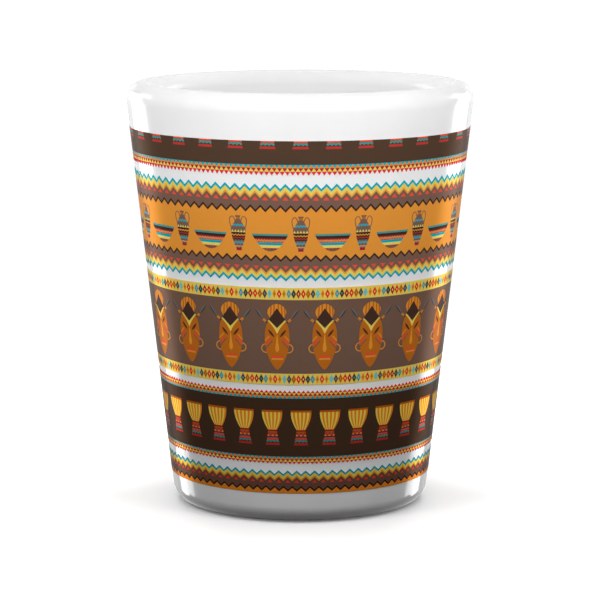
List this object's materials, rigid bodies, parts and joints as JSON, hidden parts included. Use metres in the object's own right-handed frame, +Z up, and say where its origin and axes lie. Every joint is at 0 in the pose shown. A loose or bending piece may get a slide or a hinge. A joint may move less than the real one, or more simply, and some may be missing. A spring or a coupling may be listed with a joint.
{
  "type": "ceramic shot glass",
  "caption": "Small tapered cup of white glazed ceramic with a thick base, a round lip, a bare foot ring and printed rings of folk pattern.",
  "frame": {"origin": "centre of the foot ring, on the surface that the cup stands on", "axes": "+Z up along the cup's axis towards the lip; the printed seam is at +Y, the back"},
  "size_m": [0.0494, 0.0494, 0.0605],
  "materials": {
    "clay": "matt fired stoneware, bare at the foot ring",
    "glaze": "bright white gloss glaze",
    "ink_dark": "glossy fired ink, near-black brown",
    "ink_orange": "glossy fired ink, warm orange with zigzags",
    "ink_brown": "glossy fired ink, grey-brown"
  },
  "bodies": {
    "root": {"clay_body": "clay", "white_glaze": "glaze", "recess_glaze": "glaze", "print_rim_band": "ink_dark", "print_jar_band": "ink_orange", "print_mask_band": "ink_brown", "print_drum_band": "ink_dark", "print_base_band": "ink_orange"}
  },
  "joints": []
}
